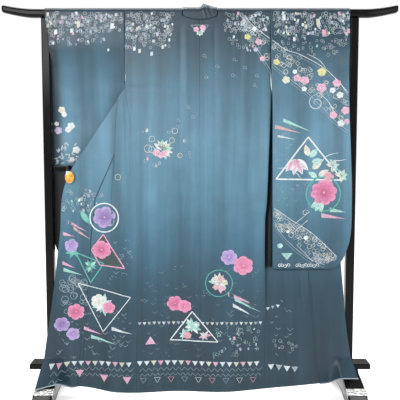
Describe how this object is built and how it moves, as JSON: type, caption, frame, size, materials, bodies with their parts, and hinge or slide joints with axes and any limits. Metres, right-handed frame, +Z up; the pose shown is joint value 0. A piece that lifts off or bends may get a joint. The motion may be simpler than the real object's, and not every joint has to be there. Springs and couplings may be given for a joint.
{
  "type": "furisode kimono on a kimono stand",
  "caption": "Long-sleeved silk kimono hung opened, back to the front, over the top rail of a black lacquered kimono stand with arched feet.",
  "frame": {"origin": "on the floor, midway between the stand's feet, under the top rail", "axes": "+Z up, -Y towards the side that the garment's back faces, +X along the top rail to the right seen from that side"},
  "size_m": [1.684, 0.57, 1.723],
  "materials": {
    "silk": "blue-grey satin silk, hand-painted motifs",
    "lining": "pale silk lining",
    "lacquer": "black gloss lacquer on wood",
    "foot_metal": "engraved silver-coloured metal",
    "clip_metal": "polished"
  },
  "bodies": {
    "root": {"body_left": "silk", "body_right": "silk", "overlap_left": "silk", "overlap_right": "silk", "sleeve_left": "silk", "sleeve_right": "silk", "collar": "silk", "hem_roll_left": "lining", "hem_roll_right": "lining", "top_rail": "lacquer", "post_left": "lacquer", "post_right": "lacquer", "middle_rail": "lacquer", "base_board": "lacquer", "foot_left": "lacquer", "foot_right": "lacquer", "foot_band_left_front": "foot_metal", "foot_band_left_rear": "foot_metal", "foot_band_right_front": "foot_metal", "foot_band_right_rear": "foot_metal", "rail_clip": "clip_metal"}
  },
  "joints": []
}
